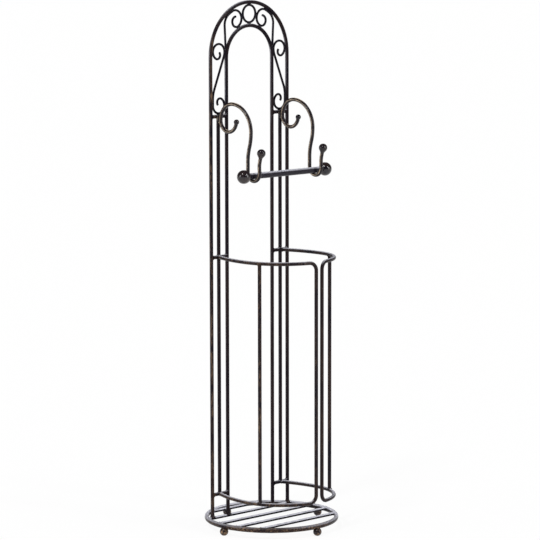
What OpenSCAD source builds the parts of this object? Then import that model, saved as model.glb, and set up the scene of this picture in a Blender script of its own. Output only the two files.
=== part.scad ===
// Free-standing toilet paper stand, welded from round wire.
// Origin at the centre of the foot circle on the floor, +Z up, open front of the basket towards -Y.
// All sizes are in millimetres.

/* [Wire] */
// Thickness of the frame wire: ring, arches, rods, hoops and hook arms
wire_d = 4.8; // [4:0.1:5.6]
// Thickness of the base slats
slat_d = 4.2; // [3.2:0.1:4.8]
// Thickness of the wire in the scrolls and the small ring
scroll_d = 3; // [2.4:0.1:3.6]
// Space that a weld fills between two wires that touch
weld_gap = 0.06; // [0.02:0.01:0.15]

/* [Base] */
// Radius of the base ring, to the middle of its wire
ring_r = 85; // [82:0.5:95]
// Height of the middle of the base ring above the floor
ring_z = 13.5; // [12.5:0.5:20]
// Distance from one slat to the next
slat_pitch = 30; // [27:0.5:32]

/* [Ball ends] */
// Diameter of the ball of a foot
foot_ball_d = 11; // [9:0.5:12]
// Width of the flat that each foot rests on
foot_flat_d = 4; // [2:0.5:6]
// Thickness of a foot's neck under the ring
foot_neck_d = 4.4; // [3.4:0.1:4.6]
// Straight part of that neck, from the middle of the ring's wire down
foot_neck_run = 2.8; // [2.6:0.1:4]
// Diameter of the ball of a finial
finial_ball_d = 11; // [8:0.5:12]
// Length of a finial from the end of its stem to the middle of its ball
finial_len = 7.5; // [6.5:0.5:10]
// Straight part of a finial's neck
finial_neck_run = 1; // [0.5:0.5:2]
// Diameter of the small ball on the back end of each hook arm
tip_ball_d = 7; // [6:0.5:9]

/* [Arches] */
// Depth of the arch plane behind the middle of the base
arch_y = 40; // [36:0.5:43]
// Half the width of the outer arch, to the middle of its wire
outer_arch_x = 68.1; // [67:0.1:69]
// Half the width of the inner arch, to the middle of its wire
inner_arch_x = 40.5; // [39:0.1:42]
// Height of the middle of the outer arch's wire at its crown
outer_arch_top = 682; // [660:1:710]
// Difference in height between the two crowns
crown_drop = 30.2; // [28:0.1:33]
// Half the distance between the two middle rods
mid_rod_x = 55.2; // [53:0.1:57]
// Difference in height between the outer crown and the top crossbars
crossbar_drop = 144.7; // [135:0.1:160]

/* [Scrolls] */
// Radius of the second coil of an upper scroll
upper_coil_r = 6.9; // [6.5:0.1:8]
// Radius of the innermost coil of an upper scroll
upper_eye_r = 6.6; // [5.5:0.1:6.9]
// Radius of the shoulder where an upper scroll turns down
shoulder_r = 16; // [12:0.5:20]
// Lean of an upper scroll's leg away from the upright
leg_lean = 3; // [1:0.5:5]
// Angle up the inner arch where the leg of an upper scroll lands
leg_landing = 20; // [18:0.5:24]
// Angle up the outer arch where the top coil of a lower scroll sits
coil_angle = 6.4; // [4:0.1:8]
// Radius of the eyes of a lower scroll
lower_eye_r = 5; // [4.4:0.1:6]
// Radius of the bend above a lower scroll's diagonal
upper_bend_r = 20; // [14:0.5:26]
// Radius of the bend below a lower scroll's diagonal
lower_bend_r = 35; // [24:0.5:40]
// Straight stretch between the lower bend and the bottom coil
coil_run = 8; // [4:0.5:12]

/* [Basket] */
// Height of the lower hoops
lower_hoop_z = 44.3; // [36:0.1:60]
// Height of the upper hoops
upper_hoop_z = 355.6; // [280:0.1:400]
// Radius of the rounded front of the hoops
hoop_r = 67.5; // [64:0.5:69]
// How far the middle of that round lies in front of the middle of the base
hoop_forward = 20; // [16:0.5:21]
// Half the gap between the two front uprights, to the middle of their wires
front_gap_x = 5.1; // [3.8:0.1:8]
// Radius of the bends between the hoops and the front uprights
basket_bend_r = 10; // [7:0.5:14]
// Place of a side rod, as a turn round the hoop from its widest point to the front
side_rod_angle = 21; // [12:1:36]

/* [Hook arms] */
// Radius of the small hook at the back
small_hook_r = 14.6; // [12:0.1:16]
// How far round the small hook goes from its back to its tip
small_hook_sweep = 166; // [150:1:178]
// Difference in height between the top crossbars and the middle of the small hook
hook_drop = 4.3; // [3.8:0.1:6]
// Radius of the back of the big arch
arch_back_r = 21.5; // [19:0.1:24]
// Radius of the front of the big arch
arch_front_r = 34.6; // [32:0.1:37]
// Radius of the two gentle bends below the front of the big arch
waist_r = 62; // [54:1:70]
// How far round each of those bends turns
waist_turn = 17.6; // [14:0.1:19]
// Straight stretch of an arm above its cradle
cradle_drop = 13; // [8:0.5:20]
// Radius of the cradle that the roller lies in
cradle_r = 10.8; // [10:0.1:12]
// How far past level the cradle curls before its stem
cradle_curl = 10; // [6:0.5:12]
// Radius of the bend in the stem below the finial
stem_r = 30; // [24:1:38]
// Lean of the finial towards the front
finial_lean = 14; // [10:0.5:18]
// Straight end of the stem
stem_run = 4; // [2:0.5:8]

/* [Roller] */
// Diameter of the roller bar
roller_d = 8; // [7:0.1:9]
// Width of the bevel at each end of the bar
roller_bevel = 0.8; // [0.4:0.1:1.4]
// Half the distance between the middles of the roller's balls
roller_ball_x = 72.6; // [71:0.1:80]
// Diameter of the roller's balls
roller_ball_d = 17.6; // [15:0.2:19]
// Diameter of the neck that holds each ball
roller_neck_d = 4.6; // [3.6:0.1:5.2]
// Length of that neck that shows beside the ball
roller_neck_run = 1.6; // [1:0.1:2.4]
// Depth of the hole in each ball
ball_hole_depth = 9; // [6:0.5:12]
// Clearance around the neck in that hole
neck_clearance = 0.05; // [0.02:0.01:0.1]
// Space between the end of the neck and the bottom of that hole
neck_end_space = 0.5; // [0.2:0.1:1]
// Clearance under the bar in its cradles
roller_clearance = 0.3; // [0.2:0.05:0.5]

/* [Hidden] */
$fn = 64;
SIDES = ["left", "right"];

bronze = [0.2, 0.17, 0.165];
rubbed_bronze = [0.36, 0.3, 0.2];
wire_r = wire_d / 2;
slat_r = slat_d / 2;
scroll_r = scroll_d / 2;
// A wire that another one is welded to cuts it back by this thickness
wire_cut_d = wire_d + 2 * weld_gap;
slat_cut_d = slat_d + 2 * weld_gap;
// Where two stretches of one bent wire meet, each bend stops short by this hair,
// and a square core inside the wire, with this part of its thickness, bridges the seam
seam = 0.005;
core_share = 0.5;

// Feet: the ball's middle stands where its flat lies on the floor
foot_ball_r = foot_ball_d / 2;
foot_ball_z = sqrt(foot_ball_r ^ 2 - (foot_flat_d / 2) ^ 2);
FEET = [["right", 0], ["back", 90], ["left", 180], ["front", 270]];

// Arches: the middles of their round tops, and the round faces that the ornaments touch
inner_arch_top = outer_arch_top - crown_drop;
crossbar_z = outer_arch_top - crossbar_drop;
outer_arch_z = outer_arch_top - outer_arch_x;
inner_arch_z = inner_arch_top - inner_arch_x;
outer_face_r = outer_arch_x - wire_r - weld_gap;
inner_face_r = inner_arch_x + wire_r + weld_gap;

// Small ring, which fills the space between the two crowns
crown_low = inner_arch_z + inner_face_r;
crown_high = outer_arch_z + outer_face_r;
top_ring_z = (crown_low + crown_high) / 2;
top_ring_out = (crown_high - crown_low) / 2;

// Upper scroll: its coil touches the small ring and both arches. The distances from its middle
// to theirs, taken in pairs, give two straight equations in its height and its outer radius.
ring_touch_r = top_ring_out + weld_gap;
rise_a = 2 * (top_ring_z - inner_arch_z);
rise_b = 2 * (top_ring_z - outer_arch_z);
flat_a = top_ring_z ^ 2 - inner_arch_z ^ 2 - ring_touch_r ^ 2 + inner_face_r ^ 2;
flat_b = top_ring_z ^ 2 - outer_arch_z ^ 2 - ring_touch_r ^ 2 + outer_face_r ^ 2;
grow_a = 2 * (inner_face_r - ring_touch_r);
grow_b = -2 * (outer_face_r + ring_touch_r);
coil_out = (flat_b / rise_b - flat_a / rise_a) / (grow_a / rise_a - grow_b / rise_b);
coil_z = (flat_a + grow_a * coil_out) / rise_a;
coil_x = sqrt((ring_touch_r + coil_out) ^ 2 - (coil_z - top_ring_z) ^ 2);
coil_r = coil_out - scroll_r;
coil_c = [coil_x, coil_z];
coil_top = atan2(coil_z - outer_arch_z, coil_x);
coil_end = 245;
second_coil_c = coil_c + (coil_r - upper_coil_r) * [cos(coil_end), sin(coil_end)];
upper_eye_c = second_coil_c + [upper_coil_r - upper_eye_r, 0];
upper_eye_sweep = 85;

// Upper scroll: beyond the coil it follows the outer arch, turns down at its shoulder,
// and its straight leg lands on the inner arch
follow_r = outer_face_r - scroll_r;
landing_r = inner_face_r + scroll_r;
leg_end = [landing_r * cos(leg_landing), inner_arch_z + landing_r * sin(leg_landing)];
leg_up = [sin(leg_lean), cos(leg_lean)];
leg_side = [-cos(leg_lean), sin(leg_lean)];
leg_offset = leg_end + shoulder_r * leg_side - [0, outer_arch_z];
leg_dot = leg_offset * leg_up;
leg_run = sqrt(leg_dot ^ 2 - leg_offset * leg_offset + (follow_r - shoulder_r) ^ 2) - leg_dot;
leg_start = leg_end + leg_run * leg_up;
shoulder_c = leg_start + shoulder_r * leg_side;
shoulder_top = atan2(shoulder_c[1] - outer_arch_z, shoulder_c[0]);

// Lower scroll: the top coil sits between the two arches, and the bottom coil sits between
// the two legs on the crossbar
arch_step = outer_arch_z - inner_arch_z;
step_in = arch_step * sin(coil_angle);
top_coil_out = (outer_face_r ^ 2 + 2 * outer_face_r * step_in + arch_step ^ 2 - inner_face_r ^ 2)
    / (2 * (outer_face_r + inner_face_r + step_in));
top_coil_r = top_coil_out - scroll_r;
top_coil_c = [0, outer_arch_z] + (outer_face_r - top_coil_out) * [cos(coil_angle), sin(coil_angle)];
bottom_coil_out = (outer_face_r - inner_face_r) / 2;
bottom_coil_r = bottom_coil_out - scroll_r;
bottom_coil_c = [inner_face_r + bottom_coil_out, crossbar_z + wire_r + weld_gap + bottom_coil_out];
lower_coil_sweep = 240;
lower_eye_sweep = 160;
upper_bend_c = top_coil_c + [upper_bend_r - top_coil_r, 0];
lower_bend_c = bottom_coil_c + [bottom_coil_r - lower_bend_r, coil_run];
bend_line = lower_bend_c - upper_bend_c;
diagonal = atan2(bend_line[0], -bend_line[1])
    + asin((upper_bend_r + lower_bend_r) / norm(bend_line));
across = [cos(diagonal), sin(diagonal)];

// Basket: the round front runs into a flatter sweep that ends at the middle rod
hoop_y = -hoop_forward;
side_in = hoop_r - mid_rod_x;
side_back = arch_y - hoop_y;
side_r = (side_in ^ 2 + side_back ^ 2) / (2 * side_in);
side_sweep = asin(side_back / side_r);
front_turn = asin(front_gap_x / norm([hoop_r, basket_bend_r])) + atan2(basket_bend_r, hoop_r);
front_end = [hoop_r * sin(front_turn), hoop_y - hoop_r * cos(front_turn)];
side_rod_at = [hoop_r * cos(side_rod_angle), hoop_y - hoop_r * sin(side_rod_angle)];

// Hook arm, drawn in its own upright plane: forward from the back of the arm, then up
arm_back_y = arch_y - wire_d - weld_gap;
small_hook_z = crossbar_z - hook_drop;
small_hook_c = [small_hook_r, small_hook_z];
arch_back_c = [arch_back_r, small_hook_z];
arch_front_c = arch_back_c + [0, arch_back_r - arch_front_r];
waist_top_c = arch_front_c + [arch_front_r - waist_r, 0];
waist_mid = waist_top_c + waist_r * [cos(waist_turn), -sin(waist_turn)];
waist_low_c = 2 * waist_mid - waist_top_c;
drop_start = waist_low_c - [waist_r, 0];
drop_end = drop_start - [0, cradle_drop];
cradle_c = drop_end + [cradle_r, 0];
cradle_end = cradle_c + cradle_r * [cos(cradle_curl), sin(cradle_curl)];
stem_c = cradle_end + stem_r * [cos(cradle_curl), sin(cradle_curl)];
stem_end = stem_c + stem_r * [-cos(finial_lean), sin(finial_lean)];
finial_at = stem_end + stem_run * [sin(finial_lean), cos(finial_lean)];
tip_turn = small_hook_sweep + 180;
tip_at = small_hook_c + small_hook_r * [cos(tip_turn), sin(tip_turn)];
tip_ball_r = tip_ball_d / 2;
tip_seat = sqrt(tip_ball_r ^ 2 - wire_r ^ 2);

// Roller, at rest in the two cradles
roller_r = roller_d / 2;
roller_y = arm_back_y - cradle_c[0];
roller_z = cradle_c[1] - cradle_r + wire_r + roller_r + roller_clearance;
roller_ball_r = roller_ball_d / 2;
neck_r = roller_neck_d / 2;
ball_hole_r = neck_r + neck_clearance;
ball_face_x = roller_ball_x - sqrt(roller_ball_r ^ 2 - ball_hole_r ^ 2);
bar_end_x = ball_face_x - roller_neck_run;
neck_end_x = ball_face_x + ball_hole_depth - neck_end_space;

// Full ring of wire in the XY plane, round the point c
module hoop(c, r, d = wire_d) {
    translate([c[0], c[1], 0])
        rotate_extrude()
            translate([r, 0])
                circle(d = d);
}

// Bent wire in the XY plane, round the point c, from the angle start on through sweep
module bend(c, r, start, sweep, d = wire_d) {
    seam_turn = seam / r * 180 / PI;
    translate([c[0], c[1], 0])
        rotate([0, 0, start + seam_turn])
            rotate_extrude(angle = sweep - 2 * seam_turn)
                translate([r, 0])
                    circle(d = d);
}

// Straight wire in the XY plane, from p to q
module straight(p, q, d = wire_d) {
    translate([p[0], p[1], 0])
        rotate([0, 0, atan2(q[1] - p[1], q[0] - p[0])])
            rotate([0, 90, 0])
                cylinder(d = d, h = norm(q - p));
}

// Square cores that tie the stretches of one bent wire together, at the points where they meet
module cores(points, d = wire_d) {
    for (p = points)
        translate([p[0], p[1], 0])
            cube(core_share * d, center = true);
}

// Upright wire at the point p, from the height low to the height high
module upright(p, low, high, d = wire_d) {
    translate([p[0], p[1], low])
        cylinder(d = d, h = high - low);
}

// Wire along X in the arch plane, at the height z, from x = low to x = high
module level_bar(z, low, high, d = wire_d) {
    translate([low, arch_y, z])
        rotate([0, 90, 0])
            cylinder(d = d, h = high - low);
}

// Stands a drawing up in the plane of the arches
module in_arch_plane() {
    translate([0, arch_y, 0])
        rotate([90, 0, 0])
            children();
}

// Stands a drawing up in the plane of the right hook arm
module in_arm_plane() {
    translate([mid_rod_x, arm_back_y, 0])
        rotate([90, 0, -90])
            children();
}

// Right-hand pieces as drawn, left-hand pieces as their mirror image
module on_side(side) {
    if (side == "left")
        mirror([1, 0, 0]) children();
    else
        children();
}

// Ball at the height len on a neck that is straight as far as the height run and then flares into it
module ball_on_neck(ball_r, neck_r, len, run) {
    reach = norm([neck_r, len - run]);
    touch = atan2(run - len, neck_r) + acos(ball_r / reach);
    rotate_extrude() {
        intersection() {
            translate([0, len]) circle(r = ball_r);
            translate([0, len - ball_r]) square([ball_r, 2 * ball_r]);
        }
        polygon([
            [0, 0],
            [neck_r, 0],
            [neck_r, run],
            [ball_r * cos(touch), len + ball_r * sin(touch)],
            [0, len + ball_r * sin(touch)]]);
    }
}

module ring_wire(d) {
    translate([0, 0, ring_z])
        hoop([0, 0], ring_r, d);
}

module base_ring() {
    color(bronze)
        ring_wire(wire_d);
}

// Round slat across the ring, its ends cut to the ring's inside
module base_slat(number) {
    y = arch_y + (2 - number) * slat_pitch;
    half = sqrt(ring_r ^ 2 - y ^ 2);
    color(bronze)
        difference() {
            translate([-half, y, ring_z])
                rotate([0, 90, 0])
                    cylinder(d = slat_d, h = 2 * half);
            ring_wire(wire_cut_d);
        }
}

// Ball foot, its neck cut to the underside of the ring, with a small flat on the floor
module foot(turn) {
    color(rubbed_bronze)
        difference() {
            rotate([0, 0, turn])
                translate([ring_r, 0, ring_z])
                    rotate([180, 0, 0])
                        ball_on_neck(foot_ball_r, foot_neck_d / 2, ring_z - foot_ball_z, foot_neck_run);
            ring_wire(wire_cut_d);
            translate([0, 0, -foot_ball_r])
                cylinder(r = ring_r + foot_ball_d, h = foot_ball_r);
        }
}

// Hairpin arch: a half ring over two legs, whose feet are cut to the slat they stand on
module arch(half_width, spring_z) {
    foot_z = ring_z + slat_r / 2;
    difference() {
        union() {
            in_arch_plane() {
                bend([0, spring_z], half_width, 0, 180);
                cores([[-half_width, spring_z], [half_width, spring_z]]);
            }
            for (side = [-1, 1])
                upright([side * half_width, arch_y], foot_z, spring_z);
        }
        level_bar(ring_z, -ring_r, ring_r, slat_cut_d);
    }
}

module outer_arch() {
    color(bronze)
        arch(outer_arch_x, outer_arch_z);
}

module inner_arch() {
    color(bronze)
        arch(inner_arch_x, inner_arch_z);
}

module top_ring() {
    color(bronze)
        in_arch_plane()
            hoop([0, top_ring_z], top_ring_out - scroll_r, scroll_d);
}

module upper_scroll() {
    color(bronze)
        in_arch_plane() {
            bend(upper_eye_c, upper_eye_r, 0, upper_eye_sweep, scroll_d);
            bend(second_coil_c, upper_coil_r, coil_end, 360 - coil_end, scroll_d);
            bend(coil_c, coil_r, coil_top, coil_end - coil_top, scroll_d);
            bend([0, outer_arch_z], follow_r, shoulder_top, coil_top - shoulder_top, scroll_d);
            bend(shoulder_c, shoulder_r, -leg_lean, shoulder_top + leg_lean, scroll_d);
            straight(leg_end, leg_start, scroll_d);
            cores([
                second_coil_c + [upper_coil_r, 0],
                coil_c + coil_r * [cos(coil_end), sin(coil_end)],
                coil_c + coil_r * [cos(coil_top), sin(coil_top)],
                shoulder_c + shoulder_r * [cos(shoulder_top), sin(shoulder_top)],
                leg_start], scroll_d);
        }
}

module lower_scroll() {
    top_turn = 180 - lower_coil_sweep;
    top_out = [cos(top_turn), sin(top_turn)];
    top_eye_c = top_coil_c + (top_coil_r - lower_eye_r) * top_out;
    bottom_turn = -lower_coil_sweep;
    bottom_out = [cos(bottom_turn), sin(bottom_turn)];
    bottom_eye_c = bottom_coil_c + (bottom_coil_r - lower_eye_r) * bottom_out;
    diagonal_top = upper_bend_c - upper_bend_r * across;
    diagonal_low = lower_bend_c + lower_bend_r * across;
    run_low = bottom_coil_c + [bottom_coil_r, 0];
    run_top = run_low + [0, coil_run];
    color(bronze)
        in_arch_plane() {
            bend(top_eye_c, lower_eye_r, top_turn - lower_eye_sweep, lower_eye_sweep, scroll_d);
            bend(top_coil_c, top_coil_r, top_turn, lower_coil_sweep, scroll_d);
            bend(upper_bend_c, upper_bend_r, 180, diagonal, scroll_d);
            straight(diagonal_top, diagonal_low, scroll_d);
            bend(lower_bend_c, lower_bend_r, 0, diagonal, scroll_d);
            straight(run_low, run_top, scroll_d);
            bend(bottom_coil_c, bottom_coil_r, bottom_turn, lower_coil_sweep, scroll_d);
            bend(bottom_eye_c, lower_eye_r, bottom_turn - lower_eye_sweep, lower_eye_sweep, scroll_d);
            cores([
                top_coil_c + top_coil_r * top_out,
                top_coil_c - [top_coil_r, 0],
                diagonal_top,
                diagonal_low,
                run_top,
                run_low,
                bottom_coil_c + bottom_coil_r * bottom_out], scroll_d);
        }
}

// The two legs of one side, at the thickness that cuts a bar to them
module leg_cuts() {
    for (x = [inner_arch_x, outer_arch_x])
        upright([x, arch_y], ring_z, inner_arch_z, wire_cut_d);
}

module top_crossbar() {
    color(bronze)
        difference() {
            level_bar(crossbar_z, inner_arch_x, outer_arch_x);
            leg_cuts();
        }
}

// Rod between the two legs, from the lower tie up to the crossbar
module mid_rod() {
    color(bronze)
        difference() {
            upright([mid_rod_x, arch_y], lower_hoop_z, crossbar_z);
            level_bar(lower_hoop_z, inner_arch_x, outer_arch_x, wire_cut_d);
            level_bar(crossbar_z, inner_arch_x, outer_arch_x, wire_cut_d);
        }
}

// Two short bars that tie the middle rod to the legs at the upper hoop
module upper_tie() {
    color(bronze)
        difference() {
            level_bar(upper_hoop_z, inner_arch_x, outer_arch_x);
            leg_cuts();
            upright([mid_rod_x, arch_y], lower_hoop_z, crossbar_z, wire_cut_d);
        }
}

// One bar between the legs, under the end of the middle rod
module lower_tie() {
    color(bronze)
        difference() {
            level_bar(lower_hoop_z, inner_arch_x, outer_arch_x);
            leg_cuts();
        }
}

// The flatter sweep of a hoop beside the post, its back end cut to the post
module hoop_side(z) {
    difference() {
        translate([0, 0, z])
            bend([hoop_r - side_r, hoop_y], side_r, 0, side_sweep);
        upright([mid_rod_x, arch_y], ring_z, crossbar_z, wire_cut_d);
        level_bar(z, inner_arch_x, outer_arch_x, wire_cut_d);
    }
}

// Half the round front of a hoop, and the bend that leads from it into the front upright
module hoop_front(z, rise, start) {
    translate([0, 0, z]) {
        bend([0, hoop_y], hoop_r, front_turn - 90, 90 - front_turn);
        cores([[hoop_r, hoop_y], front_end]);
    }
    translate([front_end[0], front_end[1], z])
        rotate([0, 0, 180 + front_turn])
            rotate([90, 0, 0])
                bend([0, rise], basket_bend_r, start, 90);
}

// One wire: upper half hoop, front upright and lower half hoop
module basket_wire() {
    front_at = front_end - basket_bend_r * [cos(front_turn), sin(front_turn)];
    low = lower_hoop_z + basket_bend_r;
    high = upper_hoop_z - basket_bend_r;
    color(bronze) {
        hoop_side(upper_hoop_z);
        hoop_front(upper_hoop_z, -basket_bend_r, 0);
        upright(front_at, low, high);
        for (z = [low, high])
            translate([0, 0, z])
                cores([front_at]);
        hoop_front(lower_hoop_z, basket_bend_r, 270);
        hoop_side(lower_hoop_z);
    }
}

// Side rod between the two hoops, its ends cut to them
module basket_rod() {
    color(bronze)
        difference() {
            upright(side_rod_at, lower_hoop_z, upper_hoop_z);
            for (z = [lower_hoop_z, upper_hoop_z])
                translate([0, 0, z])
                    hoop([0, hoop_y], hoop_r, wire_cut_d);
        }
}

module hook_arm() {
    color(rubbed_bronze)
        in_arm_plane() {
            bend(small_hook_c, small_hook_r, 180, small_hook_sweep);
            bend(arch_back_c, arch_back_r, 90, 90);
            bend(arch_front_c, arch_front_r, 0, 90);
            bend(waist_top_c, waist_r, -waist_turn, waist_turn);
            bend(waist_low_c, waist_r, 180 - waist_turn, waist_turn);
            straight(drop_start, drop_end);
            bend(cradle_c, cradle_r, 180, 180 + cradle_curl);
            bend(stem_c, stem_r, 180 - finial_lean, cradle_curl + finial_lean);
            straight(stem_end, finial_at);
            cores([
                [0, small_hook_z],
                arch_back_c + [0, arch_back_r],
                arch_front_c + [arch_front_r, 0],
                waist_mid,
                drop_start,
                drop_end,
                cradle_end,
                stem_end]);
        }
}

// Small ball on the back end of the arm, flat where the wire's end meets it
module hook_tip() {
    color(rubbed_bronze)
        in_arm_plane()
            translate([tip_at[0], tip_at[1], 0])
                rotate([0, 0, tip_turn])
                    difference() {
                        translate([0, tip_seat, 0])
                            sphere(r = tip_ball_r);
                        translate([-tip_ball_r, -tip_ball_d, -tip_ball_r])
                            cube(tip_ball_d);
                    }
}

module finial() {
    color(rubbed_bronze)
        in_arm_plane()
            translate([finial_at[0], finial_at[1], 0])
                rotate([0, 0, -finial_lean])
                    rotate([-90, 0, 0])
                        ball_on_neck(finial_ball_d / 2, wire_r, finial_len, finial_neck_run);
}

// Bar with bevelled ends and a thinner neck at each end that goes into the ball
module roller_bar() {
    color(bronze)
        translate([0, roller_y, roller_z])
            for (side = [-1, 1])
                rotate([0, 90 * side, 0])
                    rotate_extrude()
                        polygon([
                            [0, 0],
                            [roller_r, 0],
                            [roller_r, bar_end_x - roller_bevel],
                            [roller_r - roller_bevel, bar_end_x],
                            [neck_r, bar_end_x],
                            [neck_r, neck_end_x],
                            [0, neck_end_x]]);
}

module roller_ball() {
    color(rubbed_bronze)
        translate([0, roller_y, roller_z])
            difference() {
                translate([roller_ball_x, 0, 0])
                    sphere(r = roller_ball_r);
                rotate([0, 90, 0])
                    cylinder(r = ball_hole_r, h = ball_face_x + ball_hole_depth);
            }
}

base_ring();
for (number = [1:5])
    base_slat(number);
for (foot_spot = FEET)
    foot(foot_spot[1]);
outer_arch();
inner_arch();
top_ring();
roller_bar();
for (side = SIDES) {
    on_side(side) upper_scroll();
    on_side(side) lower_scroll();
    on_side(side) top_crossbar();
    on_side(side) mid_rod();
    on_side(side) upper_tie();
    on_side(side) lower_tie();
    on_side(side) basket_wire();
    on_side(side) basket_rod();
    on_side(side) hook_arm();
    on_side(side) hook_tip();
    on_side(side) finial();
    on_side(side) roller_ball();
}
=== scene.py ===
import math

import bpy
from mathutils import Matrix, Vector


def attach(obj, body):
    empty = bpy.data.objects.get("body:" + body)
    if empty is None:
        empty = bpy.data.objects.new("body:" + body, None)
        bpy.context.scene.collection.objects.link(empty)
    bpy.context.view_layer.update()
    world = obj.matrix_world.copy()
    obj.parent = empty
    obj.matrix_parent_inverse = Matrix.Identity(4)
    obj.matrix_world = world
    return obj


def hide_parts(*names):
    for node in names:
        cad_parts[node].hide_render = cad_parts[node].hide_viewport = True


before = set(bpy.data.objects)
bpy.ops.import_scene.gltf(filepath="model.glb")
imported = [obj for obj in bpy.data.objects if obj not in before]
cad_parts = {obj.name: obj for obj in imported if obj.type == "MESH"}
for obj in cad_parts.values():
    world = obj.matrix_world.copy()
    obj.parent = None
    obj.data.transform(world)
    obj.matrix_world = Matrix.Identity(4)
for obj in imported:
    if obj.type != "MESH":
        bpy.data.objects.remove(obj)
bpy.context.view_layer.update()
print("frame loaded with", len(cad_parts), "nodes")


# small helpers for working in object and edit mode

def deselectAll():
    if bpy.context.mode != "OBJECT":
        bpy.ops.object.mode_set(mode="OBJECT")
    bpy.ops.object.select_all(action="DESELECT")


def pickOnly(obj):
    deselectAll()
    obj.select_set(True)
    bpy.context.view_layer.objects.active = obj


roughSet = {"uniform": 0.3, "normal": 0.7, "soften": 0.5}


def roughenAndSmooth(offset, seed, repeat):
    # lumpy like cooled weld metal, then softened
    bpy.ops.mesh.select_all(action="SELECT")
    bpy.ops.transform.vertex_random(offset=offset, uniform=roughSet["uniform"],
                                    normal=roughSet["normal"], seed=seed)
    bpy.ops.mesh.vertices_smooth(factor=roughSet["soften"], repeat=repeat)


def shadeSoft(obj):
    pickOnly(obj)
    bpy.ops.object.shade_smooth()


def placedCopy(source, name, matrix):
    # a copy with its own mesh, its place in the mesh
    copied = source.copy()
    copied.data = source.data.copy()
    copied.name = name
    bpy.context.scene.collection.objects.link(copied)
    copied.data.transform(matrix)
    return copied


def along(start, direction, size=(1, 1, 1), spin=0.0):
    # matrix that stands a template on start, its +Z along direction
    turn = Vector(direction).to_track_quat("Z", "Y").to_matrix().to_4x4()
    scale = Matrix.Diagonal((*size, 1))
    return Matrix.Translation(start) @ turn @ Matrix.Rotation(spin, 4, "Z") @ scale


def joinAs(name, parts, material, body):
    deselectAll()
    for part in parts:
        part.select_set(True)
    bpy.context.view_layer.objects.active = parts[0]
    bpy.ops.object.join()
    joined = bpy.context.view_layer.objects.active
    joined.name = name
    joined.data.name = name
    joined.data.materials.clear()
    joined.data.materials.append(material)
    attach(joined, body)
    return joined


# camera at the photograph's angle, front left and a little above

cameraSet = {
    "place": (-2.6333, -2.7267, 0.8507),
    "azimuth": -43.981,
    "downward": 7.714,
    "roll": -0.107,
    "lens": 197.06,
    "sensor": 36,
    "nearest": 0.05,
    "farthest": 100,
}


def makeCamera():
    data = bpy.data.cameras.new("viewCamera")
    data.lens = cameraSet["lens"]
    data.sensor_width = cameraSet["sensor"]
    data.clip_start = cameraSet["nearest"]
    data.clip_end = cameraSet["farthest"]
    camera = bpy.data.objects.new("viewCamera", data)
    bpy.context.scene.collection.objects.link(camera)
    turn = Matrix.Rotation(math.radians(cameraSet["azimuth"]), 4, "Z")
    tilt = Matrix.Rotation(math.radians(90 - cameraSet["downward"]), 4, "X")
    roll = Matrix.Rotation(math.radians(cameraSet["roll"]), 4, "Z")
    camera.matrix_world = Matrix.Translation(cameraSet["place"]) @ turn @ tilt @ roll
    bpy.context.scene.camera = camera


makeCamera()
print("camera placed")


# black lacquer with a violet cast over brown, rubbed through to gold and copper in patches,
# with a painted highlight: a paler colour on the faces that look up or to the sides

bronzeSet = {
    "black": (0.0036, 0.0026, 0.0076, 1),
    "slate": (0.0120, 0.0108, 0.0180, 1),
    "brown": (0.042, 0.024, 0.017, 1),
    "gold": (0.34, 0.235, 0.135, 1),
    "copper": (0.15, 0.080, 0.055, 1),
    # pale and straw: colours of the painted highlight on the faces that look up or to the sides
    "pale": (0.60, 0.60, 0.67, 1),
    "straw": (0.66, 0.53, 0.39, 1),
    # patterns, from coarse to fine: scale, detail, roughness
    "tone": (55.0, 4, 0.55),
    "patch": (130.0, 5, 0.65),
    "fleck": (480.0, 5, 0.65),
    "grain": (1600.0, 3, 0.55),
    # how a pattern is read: from, to, and the two values these give, 0 and 1 where left out
    "wearRange": (0.42, 0.62, 0.10, 1.0),
    "speckRange": (0.46, 0.62),
    "brownRange": (0.36, 0.62),
    # the next two make the painted highlights on upward and sideways faces patchy
    "sheenPatchRange": (0.3, 0.7, 0.8, 1.1),
    "sidesRange": (0.40, 0.60, 0.25, 1.0),
    "grainRange": (0.3, 0.7),
    "glossSpread": 0.12,
    "goldMetallic": 0.6,
    "coatRoughness": 0.14,
    "grainHeight": 0.0002,
}


def mathNode(nodes, links, operation, first, second, clamp=False):
    node = nodes.new("ShaderNodeMath")
    node.operation = operation
    node.use_clamp = clamp
    for socket, value in zip(node.inputs, (first, second)):
        if isinstance(value, (int, float)):
            socket.default_value = value
        else:
            links.new(value, socket)
    return node.outputs[0]


def rangeNode(nodes, links, value, low, high, toLow=0.0, toHigh=1.0):
    node = nodes.new("ShaderNodeMapRange")
    node.inputs["From Min"].default_value = low
    node.inputs["From Max"].default_value = high
    node.inputs["To Min"].default_value = toLow
    node.inputs["To Max"].default_value = toHigh
    links.new(value, node.inputs["Value"])
    return node.outputs["Result"]


def noiseNode(nodes, links, where, pattern):
    scale, detail, roughness = pattern
    node = nodes.new("ShaderNodeTexNoise")
    node.inputs["Scale"].default_value = scale
    node.inputs["Detail"].default_value = detail
    node.inputs["Roughness"].default_value = roughness
    links.new(where, node.inputs["Vector"])
    return node.outputs["Fac"]


def mixColours(nodes, links, factor, first, second):
    node = nodes.new("ShaderNodeMix")
    node.data_type = "RGBA"
    links.new(factor, node.inputs["Factor"])
    for socket, value in ((node.inputs["A"], first), (node.inputs["B"], second)):
        if isinstance(value, tuple):
            socket.default_value = value
        else:
            links.new(value, socket)
    return node.outputs["Result"]


def zoneSum(nodes, links, split, zones, base):
    # base plus what each zone, (axis, from, to, amount), adds
    total = base
    for axis, start, end, most in zones:
        here = rangeNode(nodes, links, split.outputs[axis], start, end, 0.0, most)
        total = mathNode(nodes, links, "ADD", here, total)
    return total


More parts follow.
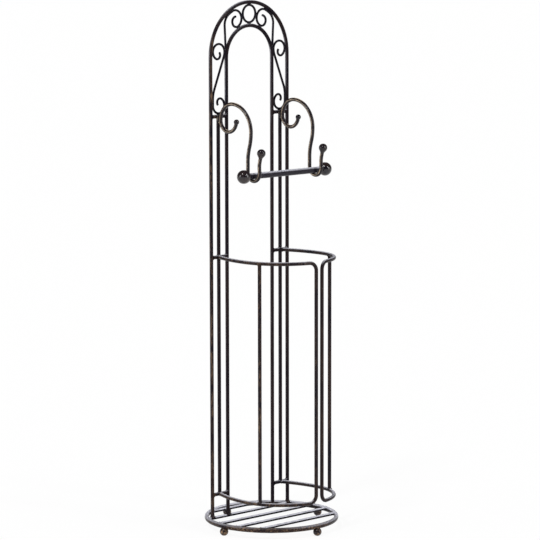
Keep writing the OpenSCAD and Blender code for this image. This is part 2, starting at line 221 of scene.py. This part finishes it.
def bronzeMaterial(name, brownShare, rub, zones=(), gloss=0.26, grain=0.03, shine=0.12,
                   under="black", paintedTopSheen=None, tint="pale", sheenLeftOffZones=(), sheenLeftOffFrom=0.0, sides=None,
                   sidesZone=None, streak=1.0, coat=0.0):
    # rub: how much gold shows all over. zones: (axis, from, to, amount), where more of it shows
    # shine: strength of the lacquer's mirror. bloom: (from, to, amount) of a painted highlight on
    # the faces that look up
    # bare: zones, as above, where that painted highlight is left off, counted from sheenLeftOffFrom
    # sides: (from, to, amount) of the same painted highlight on the faces that look left or right
    # sidesZone: (axis, from, to, least), where that painted side highlight fades in
    # streak: below 1 the pattern is drawn out along upright wires. coat: clear lacquer over it all
    material = bpy.data.materials.new(name)
    material.use_nodes = True
    nodes, links = material.node_tree.nodes, material.node_tree.links
    shader = nodes["Principled BSDF"]
    spot = nodes.new("ShaderNodeTexCoord")
    where = spot.outputs["Object"]
    split = nodes.new("ShaderNodeSeparateXYZ")
    links.new(where, split.inputs[0])

    drawn = nodes.new("ShaderNodeVectorMath")
    drawn.operation = "MULTIPLY"
    drawn.inputs[1].default_value = (1, 1, streak)
    links.new(where, drawn.inputs[0])
    drawn = drawn.outputs["Vector"]
    tone = noiseNode(nodes, links, drawn, bronzeSet["tone"])
    patch = noiseNode(nodes, links, drawn, bronzeSet["patch"])
    fleck = noiseNode(nodes, links, drawn, bronzeSet["fleck"])
    fine = noiseNode(nodes, links, where, bronzeSet["grain"])

    level = zoneSum(nodes, links, split, zones, rub)
    wear = rangeNode(nodes, links, patch, *bronzeSet["wearRange"])
    speck = rangeNode(nodes, links, fleck, *bronzeSet["speckRange"])
    both = mathNode(nodes, links, "MULTIPLY", wear, speck)
    gold = mathNode(nodes, links, "MULTIPLY", both, level, clamp=True)

    brownish = rangeNode(nodes, links, tone, *bronzeSet["brownRange"], 0.0, brownShare)
    colour = mixColours(nodes, links, brownish, bronzeSet[under], bronzeSet["brown"])
    # painted highlight: a pale colour laid on the faces that look up, where overhead light would
    # fall, left off in the given zones
    if paintedTopSheen:
        facing = nodes.new("ShaderNodeSeparateXYZ")
        links.new(spot.outputs["Normal"], facing.inputs[0])
        start, end, most = paintedTopSheen
        lookUp = rangeNode(nodes, links, facing.outputs[2], start, end, 0.0, most)
        uneven = rangeNode(nodes, links, patch, *bronzeSet["sheenPatchRange"])
        pale = mathNode(nodes, links, "MULTIPLY", lookUp, uneven, clamp=True)
        if sheenLeftOffZones:
            away = zoneSum(nodes, links, split, sheenLeftOffZones, sheenLeftOffFrom)
            left = mathNode(nodes, links, "SUBTRACT", 1.0, away, clamp=True)
            pale = mathNode(nodes, links, "MULTIPLY", pale, left)
        # painted highlight lines on the faces that look left or right
        if sides:
            start, end, most = sides
            outward = mathNode(nodes, links, "ABSOLUTE", facing.outputs[0], 0.0)
            outward = rangeNode(nodes, links, outward, start, end, 0.0, most)
            streaky = rangeNode(nodes, links, patch, *bronzeSet["sidesRange"])
            if sidesZone:
                axis, start, end, least = sidesZone
                here = rangeNode(nodes, links, split.outputs[axis], start, end, least, 1.0)
                outward = mathNode(nodes, links, "MULTIPLY", outward, here)
            outward = mathNode(nodes, links, "MULTIPLY", outward, streaky)
            pale = mathNode(nodes, links, "MAXIMUM", pale, outward)
        colour = mixColours(nodes, links, pale, colour, bronzeSet[tint])
    rubColour = mixColours(nodes, links, tone, bronzeSet["copper"], bronzeSet["gold"])
    colour = mixColours(nodes, links, gold, colour, rubColour)
    links.new(colour, shader.inputs["Base Color"])
    metallic = rangeNode(nodes, links, gold, 0, 1, 0.0, bronzeSet["goldMetallic"])
    links.new(metallic, shader.inputs["Metallic"])
    start, end = bronzeSet["grainRange"]
    rough = rangeNode(nodes, links, fine, start, end, gloss, gloss + bronzeSet["glossSpread"])
    links.new(rough, shader.inputs["Roughness"])
    shader.inputs["Specular IOR Level"].default_value = shine
    shader.inputs["Coat Weight"].default_value = coat
    shader.inputs["Coat Roughness"].default_value = bronzeSet["coatRoughness"]

    bump = nodes.new("ShaderNodeBump")
    bump.inputs["Strength"].default_value = grain
    bump.inputs["Distance"].default_value = bronzeSet["grainHeight"]
    links.new(fine, bump.inputs["Height"])
    links.new(bump.outputs["Normal"], shader.inputs["Normal"])
    return material


# each finish below also sets its painted highlight: on the faces that look up, on those that look
# sideways, and the zones where it is left off
finishes = {
    "base": bronzeMaterial("bronzeBase", 0.45, -0.70, shine=0.10, grain=0.04,
                           zones=((0, 0.07, -0.07, 0.90), (1, 0.07, -0.07, 0.90)),
                           paintedTopSheen=(0.20, 0.60, 0.95), sheenLeftOffFrom=-0.84,
                           sheenLeftOffZones=((0, 0.07, -0.07, 0.95), (1, 0.07, -0.07, 0.95))),
    "slat": bronzeMaterial("bronzeSlat", 0.10, 0.02, paintedTopSheen=(0.26, 0.40, 0.90), shine=0.02),
    "leg": bronzeMaterial("bronzeLeg", 0.35, 0.04, zones=((0, -0.061, -0.066, 0.55),), shine=0.06,
                          paintedTopSheen=(0.55, 0.96, 0.50), sides=(0.86, 1.0, 0.45),
                          sidesZone=(2, 0.50, 0.62, 0.15), streak=0.16),
    "basket": bronzeMaterial("bronzeBasket", 0.5, 0.08, zones=((0, 0.0, -0.04, 0.45),), shine=0.12,
                             paintedTopSheen=(0.55, 0.94, 0.90), sheenLeftOffZones=((1, -0.03, -0.08, 0.3),), streak=0.25),
    "scroll": bronzeMaterial("bronzeScroll", 0.10, 0.01, shine=0.10, paintedTopSheen=(0.80, 0.98, 0.40),
                             sides=(0.90, 1.0, 0.20)),
    "arm": bronzeMaterial("bronzeArm", 0.25, 0.12, gloss=0.18, grain=0.015, shine=0.28,
                          paintedTopSheen=(0.84, 0.97, 1.0), tint="straw", sides=(0.92, 0.99, 0.60)),
    "finial": bronzeMaterial("bronzeFinial", 0.4, 0.12, gloss=0.24, grain=0.01, shine=0.06,
                             paintedTopSheen=(0.92, 0.99, 0.5), coat=0.7),
    "foot": bronzeMaterial("bronzeFoot", 0.2, 1.3, gloss=0.20, grain=0.06, shine=0.25),
    "bar": bronzeMaterial("bronzeBar", 0.1, 0.02, gloss=0.24, grain=0.02, shine=0.15, under="slate",
                          paintedTopSheen=(0.45, 0.97, 0.95)),
    "ball": bronzeMaterial("bronzeBall", 0.6, 0.04, gloss=0.26, grain=0.006, shine=0.10,
                           paintedTopSheen=(0.92, 0.99, 0.3), coat=1.0),
    "weld": bronzeMaterial("bronzeWeld", 0.4, 0.15, gloss=0.30, grain=0.20),
}

nodeFinish = {
    "base_ring": "base", "base_slat": "slat", "foot": "foot",
    "outer_arch": "leg", "inner_arch": "leg", "mid_rod": "leg",
    "top_crossbar": "leg", "upper_tie": "leg", "lower_tie": "leg",
    "top_ring": "scroll", "upper_scroll": "scroll", "lower_scroll": "scroll",
    "basket_wire": "basket", "basket_rod": "basket",
    "hook_arm": "arm", "hook_tip": "finial", "finial": "finial",
    "roller_bar": "bar", "roller_ball": "ball",
}

for nodeName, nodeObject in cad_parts.items():
    for start, finish in nodeFinish.items():
        if nodeName.startswith(start):
            nodeObject.data.materials.clear()
            nodeObject.data.materials.append(finishes[finish])
            break
print("finishes assigned")


# the base ring, of heavier wire than the rest, taller than it is wide and not quite even

ringSet = {
    "radius": 0.0848,
    "halfWide": 0.0027,
    "halfTall": 0.0034,
    "z": 0.0121,
    "steps": (180, 24),  # round the ring, round its section
    "lumpy": 0.00006,
    "seed": 7,
    "softenings": 1,
}


def makeBaseRing():
    deselectAll()
    ringSteps, sectionSteps = ringSet["steps"]
    bpy.ops.mesh.primitive_torus_add(
        major_radius=ringSet["radius"], minor_radius=ringSet["halfWide"],
        major_segments=ringSteps, minor_segments=sectionSteps)
    ring = bpy.context.active_object
    ring.name = "baseRing"
    bpy.ops.object.mode_set(mode="EDIT")
    roughenAndSmooth(ringSet["lumpy"], ringSet["seed"], ringSet["softenings"])
    bpy.ops.transform.resize(value=(1, 1, ringSet["halfTall"] / ringSet["halfWide"]))
    bpy.ops.transform.translate(value=(0, 0, ringSet["z"]))
    bpy.ops.object.mode_set(mode="OBJECT")
    shadeSoft(ring)
    ring.data.name = "baseRing"
    ring.data.materials.append(finishes["base"])
    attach(ring, "stand")
    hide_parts("base_ring")


makeBaseRing()
print("base ring made")


# weld templates: a flare that runs down a rod onto what it stands on, and a lump for a crevice

flareSet = {
    "rings": ((0.0, 4.3), (0.5, 3.9), (1.3, 3.1), (2.4, 2.65), (3.8, 2.46)),  # height, radius in mm
    "steps": 28,
    "lumpy": 0.00016,
    "seed": 3,
    "softenings": 1,
}
lumpSet = {
    "radius": 0.001,
    "subdivisions": 3,
    "lumpy": 0.00010,
    "seeds": (1, 5, 9),
    "softenings": 2,
    "turn": 0.7,  # radians from one lump to the next
}


def makeFlare():
    deselectAll()
    footR = flareSet["rings"][0][1] / 1000
    bpy.ops.mesh.primitive_circle_add(vertices=flareSet["steps"], radius=footR, fill_type="NGON")
    flare = bpy.context.active_object
    flare.name = "flareTemplate"
    bpy.ops.object.mode_set(mode="EDIT")
    bpy.ops.mesh.select_all(action="SELECT")
    for (lowZ, lowR), (highZ, highR) in zip(flareSet["rings"], flareSet["rings"][1:]):
        rise = (0, 0, (highZ - lowZ) / 1000)
        bpy.ops.mesh.extrude_region_move(TRANSFORM_OT_translate={"value": rise})
        bpy.ops.transform.resize(value=(highR / lowR, highR / lowR, 1))
    roughenAndSmooth(flareSet["lumpy"], flareSet["seed"], flareSet["softenings"])
    bpy.ops.mesh.normals_make_consistent(inside=False)
    bpy.ops.object.mode_set(mode="OBJECT")
    shadeSoft(flare)
    return flare


def makeLump(seed):
    deselectAll()
    bpy.ops.mesh.primitive_ico_sphere_add(
        subdivisions=lumpSet["subdivisions"], radius=lumpSet["radius"])
    lump = bpy.context.active_object
    lump.name = "lumpTemplate"
    bpy.ops.object.mode_set(mode="EDIT")
    roughenAndSmooth(lumpSet["lumpy"], seed, lumpSet["softenings"])
    bpy.ops.object.mode_set(mode="OBJECT")
    shadeSoft(lump)
    return lump


flare = makeFlare()
lumps = [makeLump(seed) for seed in lumpSet["seeds"]]

wire = 0.0024  # radius of the frame wire
archY = 0.040  # where the two arches stand


def flareAt(parts, place, direction, width=1.0, height=1.0, spin=0.0):
    size = (width, width, height)
    parts.append(placedCopy(flare, "weldPart", along(place, direction, size, spin)))


def lumpAt(parts, place, size, direction=(0, 0, 1)):
    # size in mm across, across, along, of a template that is 2 mm across
    which = lumps[len(parts) % len(lumps)]
    scale = tuple(s / 2 for s in size)
    matrix = along(place, direction, scale, lumpSet["turn"] * len(parts))
    parts.append(placedCopy(which, "weldPart", matrix))


# welds of the base: slat ends, foot necks and the legs' feet

slatWeldSet = {
    "rows": (0.070, 0.040, 0.010, -0.020, -0.050),
    "z": 0.0135,
    "ring": 0.085,
    "sunk": 0.0012,
    "size": (0.70, 0.75),
}
baseWelds = []
for row, y in enumerate(slatWeldSet["rows"]):
    half = math.sqrt((slatWeldSet["ring"] - wire) ** 2 - y ** 2) + slatWeldSet["sunk"]
    for side in (-1, 1):
        place = (side * half, y, slatWeldSet["z"])
        flareAt(baseWelds, place, (-side, 0, 0), *slatWeldSet["size"], row)

footWeldSet = {
    "places": ((0.085, 0), (-0.085, 0), (0, 0.085), (0, -0.085)),
    "z": 0.0118,
    "size": (0.66, 0.45),
    "spin": 40,
}
footWelds = []
for x, y in footWeldSet["places"]:
    place = (x, y, footWeldSet["z"])
    flareAt(footWelds, place, (0, 0, -1), *footWeldSet["size"], x * footWeldSet["spin"])

legWeldRows = (
    # mirrored x, x added, y from the arches, z, size,
    # where two numbers make it a flare and three a lump
    (0.0405, 0.0, 0.0, 0.0143, (1.0, 1.5)),
    (0.0405, 0.0042, 0.0, 0.0152, (4.2, 3.0, 2.2)),
    (0.0405, -0.0040, 0.0004, 0.0150, (3.4, 2.8, 2.0)),
    (0.0681, 0.0, 0.0, 0.0142, (1.0, 1.25)),
    (0.0715, 0.0, 0.0005, 0.0140, (5.0, 4.2, 3.0)),
)
legWelds = []
for side in (-1, 1):
    for x, addedX, addedY, z, size in legWeldRows:
        place = (side * x + addedX, archY + addedY, z)
        if len(size) == 2:
            flareAt(legWelds, place, (0, 0, 1), *size, side)
        else:
            lumpAt(legWelds, place, size)

# welds of the ties, the hoops and the side rods

tieWeldSet = {
    # heights of the lower ties, the upper ties and the top crossbars
    "low": 0.0443,
    "high": 0.3556,
    "bar": 0.5373,
    # distances of the inner legs, the middle rods and the outer legs from the middle
    "inner": 0.0405,
    "middle": 0.0552,
    "outer": 0.0681,
    "sunk": 0.0007,
    "size": (0.86, 0.8),
    "rodSunk": 0.0008,
    "rodSize": (0.84, 0.8),
    "crossSize": (0.84, 0.7),
}
tieWelds = []
onLeg = wire - tieWeldSet["sunk"]
onTie = wire - tieWeldSet["rodSunk"]
for side in (-1, 1):
    for z in (tieWeldSet["low"], tieWeldSet["high"], tieWeldSet["bar"]):
        inner = side * (tieWeldSet["inner"] + onLeg)
        outer = side * (tieWeldSet["outer"] - onLeg)
        flareAt(tieWelds, (inner, archY, z), (side, 0, 0), *tieWeldSet["size"], z)
        flareAt(tieWelds, (outer, archY, z), (-side, 0, 0), *tieWeldSet["size"], z + 1)
    for z, up in ((tieWeldSet["low"], 1), (tieWeldSet["bar"], -1)):
        place = (side * tieWeldSet["middle"], archY, z + up * onTie)
        flareAt(tieWelds, place, (0, 0, up), *tieWeldSet["rodSize"])
    for reach in (-1, 1):
        place = (side * (tieWeldSet["middle"] + reach * onLeg), archY, tieWeldSet["high"])
        flareAt(tieWelds, place, (side * reach, 0, 0), *tieWeldSet["crossSize"], reach)

hoopWeldSet = {
    "middleY": -0.020,
    "radius": 0.0675,
    "degrees": 21,  # where the side rods stand on the hoops
    "rodSize": (0.84, 0.9),
    "endX": 0.0557,
    "endOut": 0.0003,
    "endSize": (6.6, 4.2, 6.2),
}
rodAngle = math.radians(hoopWeldSet["degrees"])
rodX = hoopWeldSet["radius"] * math.cos(rodAngle)
rodY = hoopWeldSet["middleY"] - hoopWeldSet["radius"] * math.sin(rodAngle)
endY = archY - wire - hoopWeldSet["endOut"]
hoopWelds = []
for side in (-1, 1):
    for z, up in ((tieWeldSet["low"], 1), (tieWeldSet["high"], -1)):
        place = (side * rodX, rodY, z + up * onTie)
        flareAt(hoopWelds, place, (0, 0, up), *hoopWeldSet["rodSize"], z)
        lumpAt(hoopWelds, (side * hoopWeldSet["endX"], endY, z), hoopWeldSet["endSize"], (0, -1, 0))

# welds of the scrolls and the small ring, in the crevices where round wires touch

scrollTouches = (
    # x, z, direction of the crevice in degrees, length in mm
    (0.03028, 0.67214, 152.5, 7.5),
    (0.01899, 0.64984, 153.8, 6.5),
    (0.01229, 0.66397, 76.6, 5.5),
    (0.04200, 0.62650, 107.0, 8.5),
    (0.06523, 0.62122, 96.4, 7.0),
    (0.04242, 0.61811, 99.1, 7.0),
    (0.05430, 0.53970, 0.0, 7.0),
    (0.04290, 0.55110, 90.0, 6.5),
    (0.06570, 0.55110, 90.0, 7.5),
)
scrollWeldSet = {
    "across": (2.9, 2.0),
    "ringHeights": (0.65426, 0.67954),
    "ringSize": (2.9, 2.2, 6.5),
}
scrollWelds = []
for side in (-1, 1):
    for x, z, degrees, length in scrollTouches:
        a = math.radians(degrees)
        direction = (side * math.cos(a), 0, math.sin(a))
        lumpAt(scrollWelds, (side * x, archY, z), (*scrollWeldSet["across"], length), direction)
for z in scrollWeldSet["ringHeights"]:
    lumpAt(scrollWelds, (0, archY, z), scrollWeldSet["ringSize"], (1, 0, 0))

# welds between the hook arms and the crossbars

armWeldSet = {
    "place": (0.0552, 0.0362, 0.5352),
    "rows": (
        # x outward, y, z from that place, size
        (0.0022, 0.0014, 0.0, (4.4, 4.2, 9.5)),
        (-0.0023, 0.0014, 0.0008, (4.4, 4.2, 8.5)),
        (0.0, 0.0012, -0.0052, (4.0, 3.6, 5.0)),
    ),
}
armWelds = []
armX, armY, armZ = armWeldSet["place"]
for side in (-1, 1):
    for outX, addedY, addedZ, size in armWeldSet["rows"]:
        lumpAt(armWelds, (side * (armX + outX), armY + addedY, armZ + addedZ), size)

weldGroups = (
    ("weldsSlats", baseWelds, "slat", "bronze"),
    ("weldsFeet", footWelds, "foot", "rubbed_bronze"),
    ("weldsLegs", legWelds, "weld", "bronze"),
    ("weldsTies", tieWelds, "leg", "bronze"),
    ("weldsHoops", hoopWelds, "basket", "bronze"),
    ("weldsScrolls", scrollWelds, "scroll", "bronze"),
    ("weldsArms", armWelds, "arm", "rubbed_bronze"),
)
for groupName, parts, finish, slotName in weldGroups:
    joinAs(groupName, parts, finishes[finish], "stand")
for template in [flare] + lumps:
    bpy.data.objects.remove(template)
print("welds made:", ", ".join(group[0] for group in weldGroups))


# pale floor, soft light

lightSet = {
    "suns": (
        # name, strength, width of its disc in degrees,
        # tilt from straight above, turn of the side it comes from
        ("topSun", 1.20, 7, 36, -75),
        ("rightSun", 0.80, 7, 55, 15),
    ),
    "strips": (
        # tall soft lamps of the studio: strength, half width, top, turn of the side it stands on
        (6.0, 0.13, 0.45, 28),
        (6.0, 0.13, 0.45, -112),
    ),
    "stripEdge": 0.03,
    "world": 0.44,
    # what the metal mirrors: at the horizon, and from the height skyFrom on
    "horizon": 0.95,
    "above": 0.06,
    "skyFrom": 0.09,
    "floor": (0.95, 0.95, 0.95, 1),
    "floorSize": 90,
    "floorGlow": 0.90,
}


def anyRay(nodes, links, path, rays):
    # 1 for a ray of any of these kinds
    total = path.outputs[rays[0]]
    for ray in rays[1:]:
        total = mathNode(nodes, links, "MAXIMUM", total, path.outputs[ray])
    return total


def makeFloor():
    deselectAll()
    bpy.ops.mesh.primitive_plane_add(size=lightSet["floorSize"], location=(0, 0, 0))
    floor = bpy.context.active_object
    floor.name = "floor"
    material = bpy.data.materials.new("paleFloor")
    material.use_nodes = True
    nodes, links = material.node_tree.nodes, material.node_tree.links
    nodes.remove(nodes["Principled BSDF"])
    matte = nodes.new("ShaderNodeBsdfDiffuse")
    matte.inputs["Color"].default_value = lightSet["floor"]
    glow = nodes.new("ShaderNodeEmission")
    glow.inputs["Strength"].default_value = 1.0
    path = nodes.new("ShaderNodeLightPath")
    seen = anyRay(nodes, links, path, ("Is Camera Ray", "Is Glossy Ray", "Is Transmission Ray"))
    share = mathNode(nodes, links, "MULTIPLY", seen, lightSet["floorGlow"])
    blend = nodes.new("ShaderNodeMixShader")
    links.new(share, blend.inputs[0])
    links.new(matte.outputs[0], blend.inputs[1])
    links.new(glow.outputs[0], blend.inputs[2])
    links.new(blend.outputs[0], nodes["Material Output"].inputs["Surface"])
    floor.data.materials.append(material)


def stripNode(nodes, links, sky, strength, halfWidth, top, turn):
    # a tall lamp that stands on the horizon, by the direction a ray leaves in
    a = math.radians(turn)
    toward = (math.sin(a), -math.cos(a))
    across = (math.cos(a), math.sin(a))
    ahead, aside = [
        mathNode(nodes, links, "ADD",
                 mathNode(nodes, links, "MULTIPLY", sky.outputs[0], axis[0]),
                 mathNode(nodes, links, "MULTIPLY", sky.outputs[1], axis[1]))
        for axis in (toward, across)]
    edge = lightSet["stripEdge"]
    aside = mathNode(nodes, links, "ABSOLUTE", aside, 0.0)
    lit = rangeNode(nodes, links, aside, halfWidth, halfWidth + edge, strength, 0.0)
    for value in (ahead, sky.outputs[2]):
        lit = mathNode(nodes, links, "MULTIPLY", lit, rangeNode(nodes, links, value, 0.0, edge))
    below = rangeNode(nodes, links, sky.outputs[2], top, top + edge, 1.0, 0.0)
    return mathNode(nodes, links, "MULTIPLY", lit, below)


def makeLight():
    # a turn of 0 comes from the front of the stand, 90 from its right
    for name, strength, width, tilt, turn in lightSet["suns"]:
        data = bpy.data.lights.new(name, "SUN")
        data.energy = strength
        data.angle = math.radians(width)
        sun = bpy.data.objects.new(name, data)
        sun.rotation_euler = (math.radians(tilt), 0, math.radians(turn))
        bpy.context.scene.collection.objects.link(sun)
    world = bpy.data.worlds.new("paleWorld")
    world.use_nodes = True
    nodes, links = world.node_tree.nodes, world.node_tree.links
    path = nodes.new("ShaderNodeLightPath")
    seen = anyRay(nodes, links, path, ("Is Camera Ray", "Is Transmission Ray"))
    # in the metal the pale backdrop shows round the horizon, under a dimmer studio
    sky = nodes.new("ShaderNodeSeparateXYZ")
    links.new(nodes.new("ShaderNodeTexCoord").outputs["Generated"], sky.inputs[0])
    backdrop = rangeNode(nodes, links, sky.outputs[2], 0.0, lightSet["skyFrom"],
                         lightSet["horizon"], lightSet["above"])
    mirrored = path.outputs["Is Glossy Ray"]
    around = mathNode(nodes, links, "SUBTRACT", 1.0, mirrored)
    around = mathNode(nodes, links, "MULTIPLY", around, lightSet["world"])
    shown = mathNode(nodes, links, "MULTIPLY", mirrored, backdrop)
    total = mathNode(nodes, links, "ADD", around, shown)
    for strip in lightSet["strips"]:
        total = mathNode(nodes, links, "ADD", total, stripNode(nodes, links, sky, *strip))
    hidden = mathNode(nodes, links, "SUBTRACT", 1.0, seen)
    total = mathNode(nodes, links, "MULTIPLY", total, hidden)
    links.new(mathNode(nodes, links, "ADD", seen, total), nodes["Background"].inputs["Strength"])
    nodes["Background"].inputs["Color"].default_value = (1, 1, 1, 1)
    bpy.context.scene.world = world


makeFloor()
makeLight()
bpy.context.scene.view_settings.view_transform = "Standard"
print("floor and light made")
